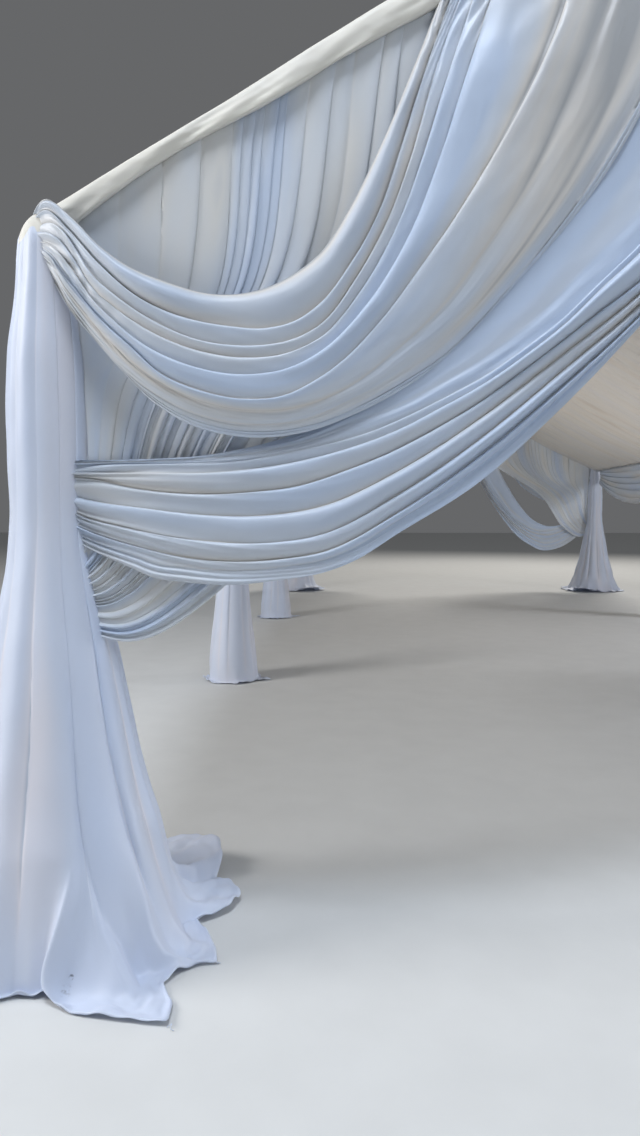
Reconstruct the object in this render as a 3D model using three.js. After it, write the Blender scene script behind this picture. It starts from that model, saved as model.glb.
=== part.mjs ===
// White draped event canopy: an aluminium frame with a gable roof, three bays long.
// Fabric wraps every leg and pools on the floor. Layered swags hang in both gable ends,
// a shallow swag hangs along each side bay, and a liner hangs under each roof slope.
// Millimetres, +Z up. X runs across, Y runs along the ridge, and the front gable is at -Y.
import * as THREE from 'three';

// Driving dimensions of the frame
const bayLength = 4570;
const bayCount = 3;
const width = 6100;
const postHeight = 2395;
const roofSlope = 0.58;
const tube = 50;
const seatGap = 0.3;

// Base plates
const plateRadius = 100;
const plateThickness = 10;

// Fabric
const sheetThickness = 14;
const roofThickness = 6;
const roofOverhang = 75;
const linerThickness = 10;
const linerSag = 150;
const linerDrop = 20;

// Sizes that follow from them
const halfWidth = width / 2;
const halfLength = bayLength * bayCount / 2;
const lineCount = bayCount + 1;
const eaveBase = postHeight + seatGap;
const eaveTop = eaveBase + tube;
const rafterUnder = eaveTop + seatGap + roofSlope * tube / 2;
const rafterDepth = tube * Math.hypot(1, roofSlope);
const rafterTail = tube / 2;
const frameFace = tube / 2 + seatGap;
const curtainFace = frameFace + sheetThickness;

const colours = { fabric: 0xf2f2f5, liner: 0xe9e7e4, aluminium: 0xb4b8bd };
const group = new THREE.Group();

// Finishes
function fabricFinish(colour) {
  return new THREE.MeshStandardMaterial({ color: colour, roughness: 0.75, metalness: 0 });
}

function metalFinish() {
  return new THREE.MeshStandardMaterial({ color: colours.aluminium, roughness: 0.4, metalness: 0.9 });
}

function addPiece(name, geometry, material) {
  const mesh = new THREE.Mesh(geometry, material);
  mesh.name = name;
  group.add(mesh);
  return mesh;
}

// Turns the triangles round where a mirrored solid has come out inside out
function facedOut(geometry) {
  const points = geometry.attributes.position;
  const index = geometry.index.array;
  const corner = (n) => new THREE.Vector3().fromBufferAttribute(points, index[n]);
  let volume = 0;
  for (let n = 0; n < index.length; n += 3) {
    volume += corner(n).dot(corner(n + 1).cross(corner(n + 2)));
  }
  if (volume < 0) {
    for (let n = 0; n < index.length; n += 3) {
      [index[n], index[n + 1]] = [index[n + 1], index[n]];
    }
  }
  return geometry;
}

// A sheet of fabric: along and across run from 0 to 1 over it, and depth from its back to its face
function sheetSolid(columns, rows, place) {
  const geometry = new THREE.BoxGeometry(1, 1, 1, columns, rows, 1);
  const points = geometry.attributes.position;
  for (let n = 0; n < points.count; n++) {
    const along = points.getX(n) + 0.5;
    const across = points.getY(n) + 0.5;
    const depth = points.getZ(n) + 0.5;
    points.setXYZ(n, ...place(along, across, depth));
  }
  return facedOut(geometry);
}

// A smooth line through points given in metres
function line(points) {
  return new THREE.SplineCurve(points.map(([a, b]) => new THREE.Vector2(a * 1000, b * 1000)));
}

// Posts with round base plates
function postSolid() {
  const radius = tube / 2;
  const profile = [
    [0, 0], [plateRadius, 0], [plateRadius, plateThickness],
    [radius, plateThickness], [radius, postHeight], [0, postHeight],
  ];
  const geometry = new THREE.LatheGeometry(profile.map(([r, z]) => new THREE.Vector2(r, z)), 16);
  return geometry.rotateX(Math.PI / 2);
}

// Fabric gathered round a leg, from its top down to the pool on the floor: [radius, height] in metres
const cornerDrape = {
  profile: [[0.1, 2.38], [0.13, 2.1], [0.148, 1.75], [0.165, 1.3], [0.23, 0.85], [0.31, 0.5], [0.43, 0.2], [0.585, 0.03]],
  lobes: 7,
  lobeDepth: 0.13,
};
const middleDrape = {
  profile: [[0.07, 2.38], [0.09, 2.1], [0.105, 1.7], [0.12, 1.3], [0.15, 0.8], [0.19, 0.4], [0.23, 0.12], [0.28, 0.02]],
  lobes: 6,
  lobeDepth: 0.08,
};

// The bore follows the post and the plate, and the lobes grow towards the floor
function legDrapeSolid({ profile, lobes, lobeDepth }) {
  const bore = tube / 2 + 1;
  const plateBore = plateRadius + 4;
  const plateTop = plateThickness + 0.5;
  const outer = profile.map(([r, z]) => new THREE.Vector2(r * 1000, z * 1000));
  const top = outer[0].y;
  const rim = outer.at(-1).x;
  const start = new THREE.Vector2(bore, top);
  const under = [[rim, 0], [plateBore, 0], [plateBore, plateTop], [bore, plateTop]];
  const inner = under.map(([r, z]) => new THREE.Vector2(r, z));
  const loop = [start, ...outer, ...inner, start.clone()];
  const geometry = new THREE.LatheGeometry(loop.reverse(), 20).rotateX(Math.PI / 2);
  const points = geometry.attributes.position;
  for (let n = 0; n < points.count; n++) {
    const x = points.getX(n);
    const y = points.getY(n);
    const z = points.getZ(n);
    if (Math.hypot(x, y) > plateBore + 1) {
      const low = Math.max(0, 1 - z / 1100);
      const swell = 1 + lobeDepth * low * Math.cos(lobes * Math.atan2(y, x));
      points.setXY(n, x * swell, y * swell);
    }
  }
  return facedOut(geometry);
}

function addLegs() {
  for (const [side, sign] of [['left', -1], ['right', 1]]) {
    for (let n = 0; n < lineCount; n++) {
      const y = -halfLength + n * bayLength;
      const atCorner = n === 0 || n === lineCount - 1;
      const post = addPiece(`post_${side}_${n + 1}`, postSolid(), metalFinish());
      post.position.set(sign * halfWidth, y, 0);
      const shape = legDrapeSolid(atCorner ? cornerDrape : middleDrape);
      const drape = addPiece(`leg_drape_${side}_${n + 1}`, shape, fabricFinish(colours.fabric));
      drape.position.copy(post.position);
    }
  }
}

// Height of the underside of a rafter at a distance in from the post line
function rafterHeight(inward) {
  return rafterUnder + roofSlope * inward;
}

// A slice through one roof slope, from the eave to the ridge, extruded along Y
function slopeSolid(sign, outline, length) {
  const shape = new THREE.Shape(outline.map(([inward, z]) => new THREE.Vector2(sign * (halfWidth - inward), z)));
  const geometry = new THREE.ExtrudeGeometry(shape, { depth: length, bevelEnabled: false });
  return geometry.rotateX(Math.PI / 2).translate(0, length / 2, 0);
}

function rafterOutline() {
  const ridge = halfWidth - seatGap / 2;
  return [
    [-rafterTail, rafterHeight(-rafterTail)],
    [ridge, rafterHeight(ridge)],
    [ridge, rafterHeight(ridge) + rafterDepth],
    [-rafterTail, rafterHeight(-rafterTail) + rafterDepth],
  ];
}

function roofOutline() {
  const ridge = halfWidth - seatGap / 2;
  const lift = rafterDepth + seatGap;
  const skin = roofThickness * Math.hypot(1, roofSlope);
  return [
    [-roofOverhang, rafterHeight(-roofOverhang) + lift],
    [ridge, rafterHeight(ridge) + lift],
    [ridge, rafterHeight(ridge) + lift + skin],
    [-roofOverhang, rafterHeight(-roofOverhang) + lift + skin],
  ];
}

// The liner hangs in a shallow curve from the ridge beam to the inside of the eave beam
function linerOutline() {
  const steps = 6;
  const eave = [tube / 2 + seatGap, eaveBase + linerDrop];
  const ridge = [halfWidth - tube / 2 - seatGap, ridgeBase() + tube - linerDrop];
  const upper = [];
  const lower = [];
  for (let n = 0; n <= steps; n++) {
    const t = n / steps;
    const inward = THREE.MathUtils.lerp(eave[0], ridge[0], t);
    const z = THREE.MathUtils.lerp(eave[1], ridge[1], t) - 4 * linerSag * t * (1 - t);
    upper.push([inward, z]);
    lower.unshift([inward, z - linerThickness]);
  }
  return [...upper, ...lower];
}

// The ridge beam lies under the rafters where they meet
function ridgeBase() {
  return rafterHeight(halfWidth - tube / 2) - seatGap - tube;
}

function addFrame() {
  const length = bayLength * bayCount + tube;
  const ridge = addPiece('ridge_beam', new THREE.BoxGeometry(tube, length, tube), metalFinish());
  ridge.position.z = ridgeBase() + tube / 2;
  for (const [side, sign] of [['left', -1], ['right', 1]]) {
    const eave = addPiece(`eave_beam_${side}`, new THREE.BoxGeometry(tube, length, tube), metalFinish());
    eave.position.set(sign * halfWidth, 0, eaveBase + tube / 2);
    for (let n = 0; n < lineCount; n++) {
      const rafter = addPiece(`rafter_${side}_${n + 1}`, slopeSolid(sign, rafterOutline(), tube), metalFinish());
      rafter.position.y = -halfLength + n * bayLength;
    }
  }
}

function addRoof() {
  const roofLength = bayLength * bayCount + 2 * tube;
  const linerLength = bayLength * bayCount - tube;
  for (const [side, sign] of [['left', -1], ['right', 1]]) {
    const roof = slopeSolid(sign, roofOutline(), roofLength);
    addPiece(`roof_${side}`, roof, fabricFinish(colours.fabric));
    const liner = slopeSolid(sign, linerOutline(), linerLength);
    addPiece(`ceiling_liner_${side}`, liner, fabricFinish(colours.liner));
  }
}

// The edges of the gable drapes, as [distance in from the post line, height] in metres.
// An upper edge and a lower edge bound each swag, and both run from the leg to the roof.
const upperSwag = {
  upper: line([[0.03, 2.56], [0.2, 2.4], [0.43, 2.31], [0.66, 2.28], [0.86, 2.33], [1.02, 2.5], [1.18, 2.8], [1.34, 3.2]]),
  lower: line([[0.03, 2.16], [0.16, 2.02], [0.3, 1.92], [0.6, 1.81], [0.95, 1.83], [1.4, 2.02], [1.9, 2.68], [2.35, 3.81]]),
  belly: 165,
  rise: 0.13,
};
const frontLowerSwag = {
  upper: line([[0.15, 1.75], [0.53, 1.75], [0.99, 1.83], [1.4, 2.1], [1.75, 2.5], [2.1, 3.0], [2.5, 3.6], [2.97, 4.225]]),
  lower: line([[0.18, 1.34], [0.45, 1.28], [0.9, 1.32], [1.35, 1.53], [1.75, 1.85], [2.1, 2.22], [2.6, 3.05], [2.97, 4.165]]),
  belly: 100,
  rise: 0.22,
};
const rearLowerSwag = {
  upper: line([[0.15, 1.75], [0.5, 1.6], [0.95, 1.55], [1.4, 1.75], [1.8, 2.2], [2.15, 2.8], [2.55, 3.5], [2.97, 4.225]]),
  lower: line([[0.24, 1.0], [0.5, 0.8], [0.92, 0.72], [1.35, 0.84], [1.75, 1.2], [2.25, 1.95], [2.7, 2.95], [2.97, 4.165]]),
  belly: 100,
  rise: 0.22,
};

// A swag leaves the frame at the roof end, and stands out by its belly from rise onwards
function swagSolid(xSign, ySign, { upper, lower, belly, rise }, seat) {
  return sheetSolid(12, 4, (along, across, depth) => {
    const point = upper.getPoint(along).lerp(lower.getPoint(along), across);
    const out = THREE.MathUtils.smoothstep(1 - along, 0, rise);
    const face = THREE.MathUtils.lerp(seat, belly, out) + depth * sheetThickness;
    return [xSign * (halfWidth - point.x), ySign * (halfLength + face), point.y];
  });
}

// The back curtain hangs from the rafter and is drawn aside to a tie on the leg.
// Each fold is a curve from the rafter through a bend to the tie.
const curtain = {
  innerTop: 0.13,
  outerTop: 2.6,
  leg: new THREE.Vector2(165, 1900),
  bend: new THREE.Vector2(750, 1250),
  tieTop: new THREE.Vector2(185, 1350),
  tieBase: new THREE.Vector2(240, 1110),
};

function curtainSolid(xSign, ySign) {
  return sheetSolid(9, 8, (along, across, depth) => {
    const inward = 1000 * THREE.MathUtils.lerp(curtain.innerTop, curtain.outerTop, along);
    const top = new THREE.Vector2(inward, rafterHeight(inward) + rafterDepth);
    const bend = curtain.leg.clone().lerp(curtain.bend, along);
    const tie = curtain.tieTop.clone().lerp(curtain.tieBase, along);
    const fold = new THREE.QuadraticBezierCurve(top, bend, tie);
    const point = fold.getPoint(across);
    const face = frameFace + depth * sheetThickness;
    return [xSign * (halfWidth - point.x), ySign * (halfLength + face), point.y];
  });
}

function addGables() {
  const swagSeat = curtainFace + seatGap;
  for (const [end, ySign, lowerSwag] of [['front', -1, frontLowerSwag], ['rear', 1, rearLowerSwag]]) {
    for (const [side, xSign] of [['left', -1], ['right', 1]]) {
      const cloth = fabricFinish(colours.fabric);
      addPiece(`${end}_${side}_curtain`, curtainSolid(xSign, ySign), cloth);
      addPiece(`${end}_${side}_upper_swag`, swagSolid(xSign, ySign, upperSwag, swagSeat), cloth);
      addPiece(`${end}_${side}_lower_swag`, swagSolid(xSign, ySign, lowerSwag, frameFace), cloth);
    }
  }
}

// A shallow swag along each side bay, hung on the outside of the eave beam
const sideSwag = { clearance: 150, top: 2440, endDrop: 260, middleDrop: 520, belly: 45 };

function sideSwagSolid(sign, bay) {
  const start = -halfLength + bay * bayLength + sideSwag.clearance;
  const length = bayLength - 2 * sideSwag.clearance;
  return sheetSolid(10, 3, (along, across, depth) => {
    const arch = 4 * along * (1 - along);
    const drop = THREE.MathUtils.lerp(sideSwag.endDrop, sideSwag.middleDrop, arch);
    const out = frameFace + sideSwag.belly * Math.sin(Math.PI * across) + depth * sheetThickness;
    return [sign * (halfWidth + out), start + along * length, sideSwag.top - across * drop];
  });
}

function addSideSwags() {
  for (const [side, sign] of [['left', -1], ['right', 1]]) {
    for (let bay = 0; bay < bayCount; bay++) {
      addPiece(`side_swag_${side}_${bay + 1}`, sideSwagSolid(sign, bay), fabricFinish(colours.fabric));
    }
  }
}

addLegs();
addFrame();
addRoof();
addGables();
addSideSwags();

export default group;
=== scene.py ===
import math
import bpy
import numpy as np
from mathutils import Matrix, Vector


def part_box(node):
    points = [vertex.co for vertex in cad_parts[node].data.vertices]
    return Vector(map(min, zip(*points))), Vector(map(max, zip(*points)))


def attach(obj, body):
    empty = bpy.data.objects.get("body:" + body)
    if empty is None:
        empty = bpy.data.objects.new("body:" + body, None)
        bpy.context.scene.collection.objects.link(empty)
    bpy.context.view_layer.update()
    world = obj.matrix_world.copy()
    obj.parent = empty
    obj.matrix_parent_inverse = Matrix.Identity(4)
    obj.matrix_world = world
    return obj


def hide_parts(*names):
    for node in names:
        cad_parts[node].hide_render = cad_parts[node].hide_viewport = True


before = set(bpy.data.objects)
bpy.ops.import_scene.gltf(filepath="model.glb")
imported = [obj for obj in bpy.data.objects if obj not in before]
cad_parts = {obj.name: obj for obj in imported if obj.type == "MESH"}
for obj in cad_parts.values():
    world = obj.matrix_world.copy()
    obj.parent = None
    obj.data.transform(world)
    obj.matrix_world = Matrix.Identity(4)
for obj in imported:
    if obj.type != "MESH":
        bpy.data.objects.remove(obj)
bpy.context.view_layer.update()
print("frame loaded:", len(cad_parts), "nodes")

# Plan of the canopy, from the frame
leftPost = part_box("post_left_1")
postX = abs(leftPost[0][0] + leftPost[1][0]) / 2
postY = abs(leftPost[0][1] + leftPost[1][1]) / 2
roofSlope = 0.58
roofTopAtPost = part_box("roof_left")[1][2] - roofSlope * postX  # the roof's top surface, over the posts
lineCount = 4                                                  # posts along each side
bayLength = 2 * postY / (lineCount - 1)
sides = (("left", -1), ("right", 1))                           # each side's name, and which way x runs there
rearDetail = 0.6                                               # share of the nearest pieces' mesh steps


# Curves and grids

# Cubic through values at knots. A knot's slope is the weighted mean of the slopes on both sides of it, and
# between two knots the value is a cubic blend of both ends' values and slopes.
def cubicThrough(knots, values, at):
    knots, values = np.asarray(knots, float), np.asarray(values, float)
    slopes = np.gradient(values, knots, axis=0)
    spot = np.clip(np.searchsorted(knots, at, side="right") - 1, 0, len(knots) - 2)
    gap = knots[spot + 1] - knots[spot]
    t = (at - knots[spot]) / gap
    if values.ndim > 1:
        t, gap = t[:, None], gap[:, None]
    first, last = values[spot], values[spot + 1]
    firstSlope, lastSlope = slopes[spot] * gap, slopes[spot + 1] * gap
    return ((1 + 2 * t) * (1 - t) ** 2 * first + t * (1 - t) ** 2 * firstSlope
            + t * t * (3 - 2 * t) * last + t * t * (t - 1) * lastSlope)


# A line through given points, as count points evenly spaced along it: the cubic's length is measured in
# fine steps, and the points are then read off at even lengths
def evenLine(points, count, fineSteps=600):
    points = np.asarray(points, float)
    chord = np.r_[0, np.cumsum(np.hypot(*np.diff(points, axis=0).T))]
    fine = cubicThrough(chord, points, np.linspace(0, chord[-1], fineSteps))
    length = np.r_[0, np.cumsum(np.hypot(*np.diff(fine, axis=0).T))]
    even = np.linspace(0, length[-1], count)
    return np.c_[np.interp(even, length, fine[:, 0]), np.interp(even, length, fine[:, 1])]


# Smooth random waves over two coordinates: a sum of cosines with random directions and phases, about 1 high
def waves(a, b, seed, scaleA, scaleB, count=14):
    draw = np.random.default_rng(seed)
    total = np.zeros(np.broadcast(a, b).shape)
    for _ in range(count):
        turnsA, turnsB = draw.normal(0, 1, 2)
        phase = draw.uniform(0, 2 * np.pi)
        total = total + np.cos(turnsA * a / scaleA * 2 * np.pi + turnsB * b / scaleB * 2 * np.pi + phase)
    return total / math.sqrt(count / 2)


# 0 below low, 1 above high, and 3 t squared less 2 t cubed between them
def smoothRamp(value, low, high):
    t = np.clip((value - low) / (high - low), 0, 1)
    return t * t * (3 - 2 * t)


# Points from angle, radius and height
def fromPolar(polar):
    angle, radius, height = polar[..., 0], polar[..., 1], polar[..., 2]
    return np.stack([radius * np.cos(angle), radius * np.sin(angle), height], -1)


# A mesh from a grid of points, with its UV map in metres of cloth along the grid's two ways. A fourth channel
# of the points is painted light and shade on the cloth's white, kept as an attribute. Turned faces look the
# other way, and wrap joins the last column to the first.
def gridPiece(name, points, material, turned=False, wrap=False, thickness=0.0016):
    rows, columns = points.shape[:2]
    paintedShading = points[..., 3] if points.shape[-1] > 3 else np.zeros((rows, columns))
    points = points[..., :3]
    index = np.arange(rows * columns).reshape(rows, columns)
    if wrap:
        index = np.c_[index, index[:, :1]]
    quads = np.stack([index[:-1, :-1], index[:-1, 1:], index[1:, 1:], index[1:, :-1]], -1).reshape(-1, 4)
    if turned:
        quads = quads[:, ::-1]
    across = np.r_[0, np.cumsum(np.linalg.norm(np.diff(points, axis=0), axis=2).mean(1))]
    steps = np.linalg.norm(np.diff(np.concatenate([points, points[:, :1]], 1), axis=1), axis=2).mean(0)
    along = np.r_[0, np.cumsum(steps)]
    mesh = bpy.data.meshes.new(name)
    mesh.vertices.add(rows * columns)
    mesh.vertices.foreach_set("co", points.reshape(-1).astype(np.float32))
    mesh.loops.add(quads.size)
    mesh.loops.foreach_set("vertex_index", quads.reshape(-1).astype(np.int32))
    mesh.polygons.add(len(quads))
    mesh.polygons.foreach_set("loop_start", np.arange(0, quads.size, 4, dtype=np.int32))
    mesh.update(calc_edges=True)
    cellU = np.arange(index.shape[1])[None, :].repeat(rows, 0)
    cellV = np.arange(rows)[:, None].repeat(index.shape[1], 1)
    before, after = slice(None, -1), slice(1, None)
    corners = ((before, before), (before, after), (after, after), (after, before))
    us = np.stack([along[cellU[corner]] for corner in corners], -1).reshape(-1, 4)
    vs = np.stack([across[cellV[corner]] for corner in corners], -1).reshape(-1, 4)
    if turned:
        us, vs = us[:, ::-1], vs[:, ::-1]
    layer = mesh.uv_layers.new(name="cloth")
    layer.data.foreach_set("uv", np.stack([us, vs], -1).reshape(-1).astype(np.float32))
    warmth = mesh.attributes.new("warmth", "FLOAT", "POINT")
    warmth.data.foreach_set("value", paintedShading.reshape(-1).astype(np.float32))
    mesh.polygons.foreach_set("use_smooth", np.ones(len(quads), bool))
    mesh.materials.append(material)
    piece = bpy.data.objects.new(name, mesh)
    bpy.context.scene.collection.objects.link(piece)
    shell = piece.modifiers.new("thickness", "SOLIDIFY")
    shell.thickness = thickness
    shell.offset = 0
    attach(piece, "root")
    return piece


# A grid of cloth's longest line each way, and its area: half the cross product of each cell's diagonals
def clothSize(points, wrap=False):
    points = points[..., :3]
    if wrap:
        points = np.concatenate([points, points[:, :1]], 1)
    along = np.linalg.norm(np.diff(points, axis=1), axis=2)
    across = np.linalg.norm(np.diff(points, axis=0), axis=2)
    p, q = points[1:, 1:] - points[:-1, :-1], points[1:, :-1] - points[:-1, 1:]
    area = float(np.linalg.norm(np.cross(p, q), axis=2).sum() / 2)
    return float(along.sum(1).max()), float(across.sum(0).max()), area


leastShare = 0.31  # of its flat rectangle: the least area that a tapering cloth is declared with


# The cloth's longest lines and area, the area kept between a least share of its flat rectangle and the whole;
# nothing is done with them. The cloth's own size over its folds is given as its flat size
def declareSheet(points, wrap=False):
    length, width, area = clothSize(points, wrap)
    area = min(max(area, leastShare * length * width), length * width)


# Materials

# A socket that does its sums as Math nodes
class Wire:
    def __init__(self, socket):
        self.socket = socket
        self.tree = socket.id_data

    def math(self, operation, other=None, swapped=False):
        node = self.tree.nodes.new("ShaderNodeMath")
        node.operation = operation
        first, second = (other, self) if swapped else (self, other)
        for slot, value in zip(node.inputs, (first, second)):
            if isinstance(value, Wire):
                self.tree.links.new(value.socket, slot)
            elif value is not None:
                slot.default_value = value
        return Wire(node.outputs[0])

    def __add__(self, other):
        return self.math("ADD", other)

    def __radd__(self, other):
        return self.math("ADD", other, True)

    def __sub__(self, other):
        return self.math("SUBTRACT", other)

    def __rsub__(self, other):
        return self.math("SUBTRACT", other, True)

    def __mul__(self, other):
        return self.math("MULTIPLY", other)

    def __rmul__(self, other):
        return self.math("MULTIPLY", other, True)

    def sin(self):
        return self.math("SINE")


# A material whose nodes come from one method, where a socket is named by its words, or by _ and its number.
# Once done, its surface is joined to its output.
class Finish:
    def __init__(self, name):
        self.material = bpy.data.materials.new(name)
        self.material.use_nodes = True
        self.tree = self.material.node_tree
        self.tree.nodes.clear()

    def node(self, kind, settings=None, output=0, **inputs):
        node = self.tree.nodes.new("ShaderNode" + kind)
        for key, value in (settings or {}).items():
            if key == "stops":
                ramp = node.color_ramp
                while len(ramp.elements) < len(value):
                    ramp.elements.new(0.5)
                for element, (position, colour) in zip(ramp.elements, value):
                    element.position = position
                    element.color = (*colour, 1)
            else:
                setattr(node, key, value)
        for key, value in inputs.items():
            slot = node.inputs[int(key[1:])] if key[0] == "_" else node.inputs[key.replace("_", " ")]
            if isinstance(value, Wire):
                self.tree.links.new(value.socket, slot)
            else:
                slot.default_value = value
        return Wire(node.outputs[output])

    def done(self, surface):
        output = self.tree.nodes.new("ShaderNodeOutputMaterial")
        self.tree.links.new(surface.socket, output.inputs["Surface"])
        return self.material


clothLook = {
    "weavePitch": 0.0011,                # metres between threads, as far as a picture can show them
    "weave": 0.5, "slub": 0.8,           # shares of the bump
    "slubNoise": {"Scale": 38.0, "Detail": 4.0, "Roughness": 0.6},
    "bump": 0.25, "bumpHeight": 0.00025,
    "streaks": (0.5, 4.5),               # per metre along the folds and across them
    "streakNoise": {"Scale": 1.0, "Detail": 3.0, "Roughness": 0.5}, "streakContrast": 1.6,
    # where the cool, plain, warm and deep whites lie, and how much of the painted light and shade attribute
    # is added
    "tintPlaces": (0.2, 0.5, 0.74, 0.95), "paintedLightShare": 0.3,
    "roughnessChange": 0.12,
    "sheen": {"Sheen_Weight": 0.25, "Sheen_Roughness": 0.4, "Specular_IOR_Level": 0.5},
    "dirt": (0.22, 0.24, 0.30, 1), "dirtLevel": 0.46,
    "dirtNoise": {"Scale": 75.0, "Detail": 2.0, "Roughness": 0.5},
}


# White cloth: a fine weave on the UV map, as the product of a sine each way, soft streaks of cooler and
# warmer white along its folds, the painted light and shade attribute added to them, and light that comes
# through it. The attribute paints cool sky light on the ridges and warm, dark shade in the hollows and
# creases. Each mark is a blotch of dirt that fades to nothing at its radius: where it is, the radius, and how
# strong it is.
def clothFinish(name, tints, translucency, roughness, streaks=clothLook["streaks"], marks=()):
    look = clothLook
    finish = Finish(name)
    place = finish.node("TexCoord", output=3)  # Object
    flat = finish.node("TexCoord", output=2)   # UV
    along = finish.node("SeparateXYZ", _0=flat)
    across = Wire(along.socket.node.outputs[1])
    stretched = finish.node("CombineXYZ", _0=along * streaks[0], _1=across * streaks[1])
    broad = finish.node("TexNoise", Vector=stretched, **look["streakNoise"])
    fine = finish.node("TexNoise", Vector=place, **look["slubNoise"])
    warmth = finish.node("Attribute", {"attribute_name": "warmth"}, output=2)
    # painted light and shade: the attribute moves the tint toward the cool white on ridges and the deep white
    # in creases
    tone = (broad - 0.5) * look["streakContrast"] + 0.5 + warmth * look["paintedLightShare"]
    tint = finish.node("ValToRGB", {"stops": list(zip(look["tintPlaces"], tints))}, Fac=tone)
    for spot, radius, strength in marks:
        blotch = finish.node("TexNoise", Vector=place, **look["dirtNoise"])
        apart = finish.node("VectorMath", {"operation": "DISTANCE"}, output=1, _0=place, _1=spot)
        near = (apart * (-1 / radius) + 1).math("MAXIMUM", 0.0)
        amount = finish.node("Math", {"operation": "MULTIPLY", "use_clamp": True},
                             _0=(blotch - look["dirtLevel"]) * strength, _1=near)
        tint = finish.node("Mix", {"data_type": "RGBA"}, output=2, _0=amount, _6=tint, _7=look["dirt"])
    turns = 2 * math.pi / look["weavePitch"]
    weave = (along * turns).sin() * (across * turns).sin() * look["weave"] + fine * look["slub"]
    bump = finish.node("Bump", Height=weave, Strength=look["bump"], Distance=look["bumpHeight"])
    rough = fine * look["roughnessChange"] + (roughness - look["roughnessChange"] / 2)
    surface = finish.node("BsdfPrincipled", Base_Color=tint, Roughness=rough, Normal=bump, **look["sheen"])
    through = finish.node("BsdfTranslucent", Color=(*tints[1], 1), Normal=bump)
    return finish.done(finish.node("MixShader", Fac=translucency, _1=surface, _2=through))


tubeLook = {
    "tones": [(0.3, (0.5, 0.52, 0.55)), (0.75, (0.68, 0.7, 0.72))],
    "grain": {"Scale": 60.0, "Detail": 5.0, "Roughness": 0.7},
    "bump": 0.15, "grainHeight": 0.0004,
    "roughness": 0.25, "roughnessChange": 0.25,
}


# Brushed tube: one fine noise gives its tone, its roughness and its grain
def metalFinish():
    look = tubeLook
    finish = Finish("brushed aluminium tube")
    place = finish.node("TexCoord", output=3)
    grain = finish.node("TexNoise", Vector=place, **look["grain"])
    tone = finish.node("ValToRGB", {"stops": look["tones"]}, Fac=grain)
    bump = finish.node("Bump", Height=grain, Strength=look["bump"], Distance=look["grainHeight"])
    rough = grain * look["roughnessChange"] + look["roughness"]
    surface = finish.node("BsdfPrincipled", Base_Color=tone, Roughness=rough, Metallic=1.0, Normal=bump)
    return finish.done(surface)


# The whites of each cloth: cool, plain, warm and deep. Through the painted light and shade attribute, the
# cool white is also painted sky light on ridges, and the warm and deep whites painted shade in hollows and
# creases.
# The drape, curtain and leg drapes are one white cloth: their whites differ as painted light and shade,
# darker on the drape, lighter on the curtain, and lighter and bluer on the legs.
whites = {
    "drape": ((0.62, 0.73, 0.91), (0.71, 0.76, 0.83), (0.79, 0.76, 0.72), (0.48, 0.49, 0.50)),
    "curtain": ((0.66, 0.76, 0.93), (0.79, 0.83, 0.88), (0.86, 0.85, 0.82), (0.55, 0.59, 0.65)),
    "leg": ((0.69, 0.78, 0.96), (0.76, 0.82, 0.95), (0.85, 0.84, 0.90), (0.46, 0.52, 0.62)),
    "band": ((0.93, 0.93, 0.88), (0.95, 0.93, 0.87), (0.95, 0.93, 0.84), (0.90, 0.87, 0.78)),
    "roof": ((0.82, 0.83, 0.82), (0.84, 0.83, 0.80), (0.87, 0.85, 0.81), (0.84, 0.81, 0.76)),
    "liner": ((0.80, 0.80, 0.82), (0.84, 0.82, 0.79), (0.84, 0.80, 0.75), (0.68, 0.62, 0.56)),
}
dirtMarks = (((-2.872, -7.255, 0.06), 0.011, 20.0), ((-2.882, -7.285, 0.035), 0.024, 5.0))

drapeCloth = clothFinish("white drape cloth", whites["drape"], 0.2, 0.36)
curtainCloth = clothFinish("white curtain cloth", whites["curtain"], 0.25, 0.45)
legCloth = clothFinish("white leg drape cloth", whites["leg"], 0.2, 0.45, (2.0, 0.4), dirtMarks)
bandCloth = clothFinish("cream rafter wrap", whites["band"], 0.25, 0.5)
roofCloth = clothFinish("white roof cloth", whites["roof"], 0.35, 0.6, (0.4, 0.8))
linerCloth = clothFinish("off-white liner cloth", whites["liner"], 0.35, 0.65)
tubeMetal = metalFinish()

for node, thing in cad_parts.items():
    if node.startswith(("post", "eave_beam", "ridge_beam", "rafter")):
        thing.data.materials.clear()
        thing.data.materials.append(tubeMetal)
print("materials made")


# Gable drapes

# Each is worked out flat against its gable, as distance in from the post line, height, and distance out from
# the frame. This places it in its corner.
def inCorner(flat, xSign, ySign):
    inward, height, out = flat[..., 0], flat[..., 1], flat[..., 2]
    placed = np.stack([xSign * (postX - inward), ySign * (postY + out), height], -1)
    return np.concatenate([placed, flat[..., 3:]], -1)


# A ledge's section at even steps: how far across, and how far out
ledgeAcross = (0, -0.045, -0.02, 0.10, 0.30, 0.53, 0.75, 0.92, 1.0)
ledgeOut = (0, 0.52, 0.93, 1.0, 0.84, 0.61, 0.36, 0.14, 0.0)


# One fold's section, from its upper crease to its lower one: how far across, and how far out. A soft fold is
# a cosine hump. A ledge has its ridge at the upper crease and falls back from there, to pass behind the next
# one. A roll is a ledge turned over, and hangs over its lower crease. The lean mixes them: 0 is a soft fold,
# -1 a ledge and 1 a roll.
def foldSection(fraction, lean):
    knots = np.linspace(0, 1, len(ledgeAcross))
    roll = lean > 0
    place = np.where(roll, 1 - fraction, fraction)
    across = cubicThrough(knots, ledgeAcross, place)
    across = np.where(roll, 1 - across, across)
    out = cubicThrough(knots, ledgeOut, place)
    hump = 0.5 - 0.5 * np.cos(2 * np.pi * fraction)
    sharp = np.abs(lean)
    return fraction + (across - fraction) * sharp, hump * (1 - sharp) + out * sharp


# Values given at the start, middle and end of each line, and straight between those
def alongEach(rows, s):
    return np.stack([np.interp(s, (0, 0.5, 1), row) for row in rows])


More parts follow.
